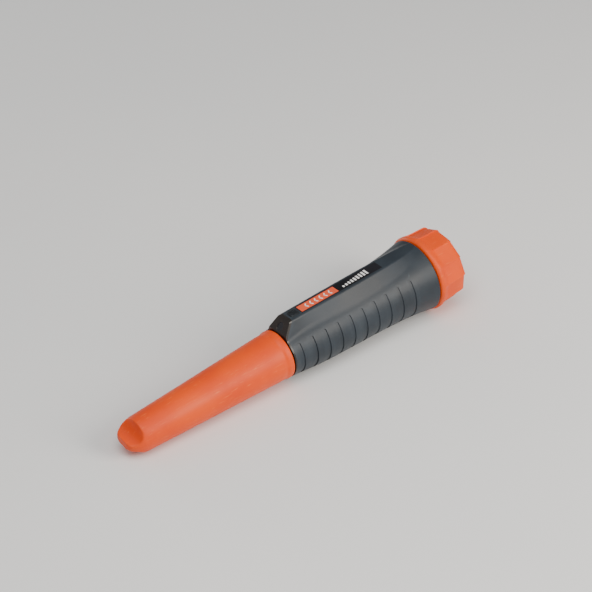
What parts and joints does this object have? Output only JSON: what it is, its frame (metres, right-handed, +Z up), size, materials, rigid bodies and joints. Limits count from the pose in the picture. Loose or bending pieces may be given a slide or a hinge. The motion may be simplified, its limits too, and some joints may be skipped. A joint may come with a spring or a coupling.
{
  "type": "pinpointer probe",
  "caption": "Waterproof metal-detecting pinpointer: tapered probe in a slip-on scraper sheath, ribbed grip with a flat-topped spine, lamp and button, and a faceted screw cap over the battery.",
  "frame": {"origin": "centre of the screw cap's flat rear face", "axes": "+X is the outward normal of the cap's rear face, so the tool's tip points along -X; +Z points up through the labelled spine; +Y completes the right-handed frame"},
  "size_m": [0.245, 0.0488, 0.0488],
  "materials": {
    "grip_rubber": "soft satin overmould, blue-grey",
    "core_plastic": "moulded black",
    "bezel_plastic": "semi-gloss black",
    "lens_clear": "clear window",
    "label_black": "smooth printed strip",
    "label_orange": "printed panel",
    "button_rubber": "soft satin",
    "switch_black": "moulded black",
    "board_green": "solder mask",
    "chip_black": "moulded epoxy",
    "capacitor_can": "drawn can",
    "motor_steel": "drawn can",
    "led_epoxy": "clear epoxy",
    "tinned_wire": "tinned",
    "cell_jacket": "printed steel jacket",
    "plated_contact": "nickel plated",
    "plate_phenolic": "phenolic sheet",
    "screw_steel": "zinc plated",
    "lead_insulation": "soft insulation",
    "orange_plastic": "satin moulded orange",
    "foam_grey": "closed-cell foam",
    "seal_rubber": "lubricated ring",
    "ferrite": "sintered",
    "spacer_nylon": "natural nylon",
    "enamel_wire": "enamelled copper"
  },
  "bodies": {
    "handle": {"grip_shell": "grip_rubber", "grip_core": "core_plastic", "board_rails": "core_plastic", "nose_bezel": "bezel_plastic", "lamp_lens": "lens_clear", "label_plate": "label_black", "label_accent": "label_orange", "tact_switch": "switch_black", "main_board": "board_green", "board_chips": "chip_black", "board_capacitors": "capacitor_can", "piezo_buzzer": "chip_black", "motor_can": "motor_steel", "lamp_led": "led_epoxy", "lamp_legs": "tinned_wire", "battery_cell": "cell_jacket", "battery_terminals": "plated_contact", "contact_snaps": "plated_contact", "contact_plate": "plate_phenolic", "bay_bulkhead": "core_plastic", "contact_screws": "screw_steel", "battery_leads": "lead_insulation", "battery_cradle": "core_plastic", "cap_seal": "seal_rubber", "probe_tube": "core_plastic", "sheath_ring": "seal_rubber", "ferrite_rod": "ferrite", "rod_spacers": "spacer_nylon", "transmit_coil": "enamel_wire", "receive_coil": "enamel_wire", "coil_leads": "enamel_wire"},
    "sheath": {"probe_sheath": "orange_plastic"},
    "cap": {"battery_cap": "orange_plastic"},
    "cap_follower": {"cap_disc": "core_plastic", "cap_pad": "foam_grey"},
    "button": {"power_button": "button_rubber", "switch_plunger": "switch_black"},
    "motor_rotor": {"motor_shaft": "motor_steel", "motor_weight": "motor_steel"}
  },
  "joints": [
    {"name": "sheath_pull", "type": "slide", "parent": "handle", "child": "sheath", "axis": [-1, 0, 0], "range_m": [0, 0.12]},
    {"name": "cap_travel", "type": "slide", "parent": "handle", "child": "cap_follower", "axis": [1, 0, 0], "range_m": [0, 0.0076]},
    {"name": "cap_turn", "type": "hinge", "parent": "cap_follower", "child": "cap", "pos_m": [0, 0, 0], "axis": [1, 0, 0], "range_deg": [0, 900]},
    {"name": "button_press", "type": "slide", "parent": "handle", "child": "button", "axis": [0, 0, -1], "range_m": [0, 0.0005], "stiffness_N_per_m": 3000},
    {"name": "motor_spin", "type": "hinge", "parent": "handle", "child": "motor_rotor", "pos_m": [-0.096, 0, 0.0035], "axis": [1, 0, 0], "continuous": true}
  ],
  "couplings": [
    {"joint": "cap_travel", "follows": "cap_turn", "m_per_rad": 0.00047746}
  ]
}
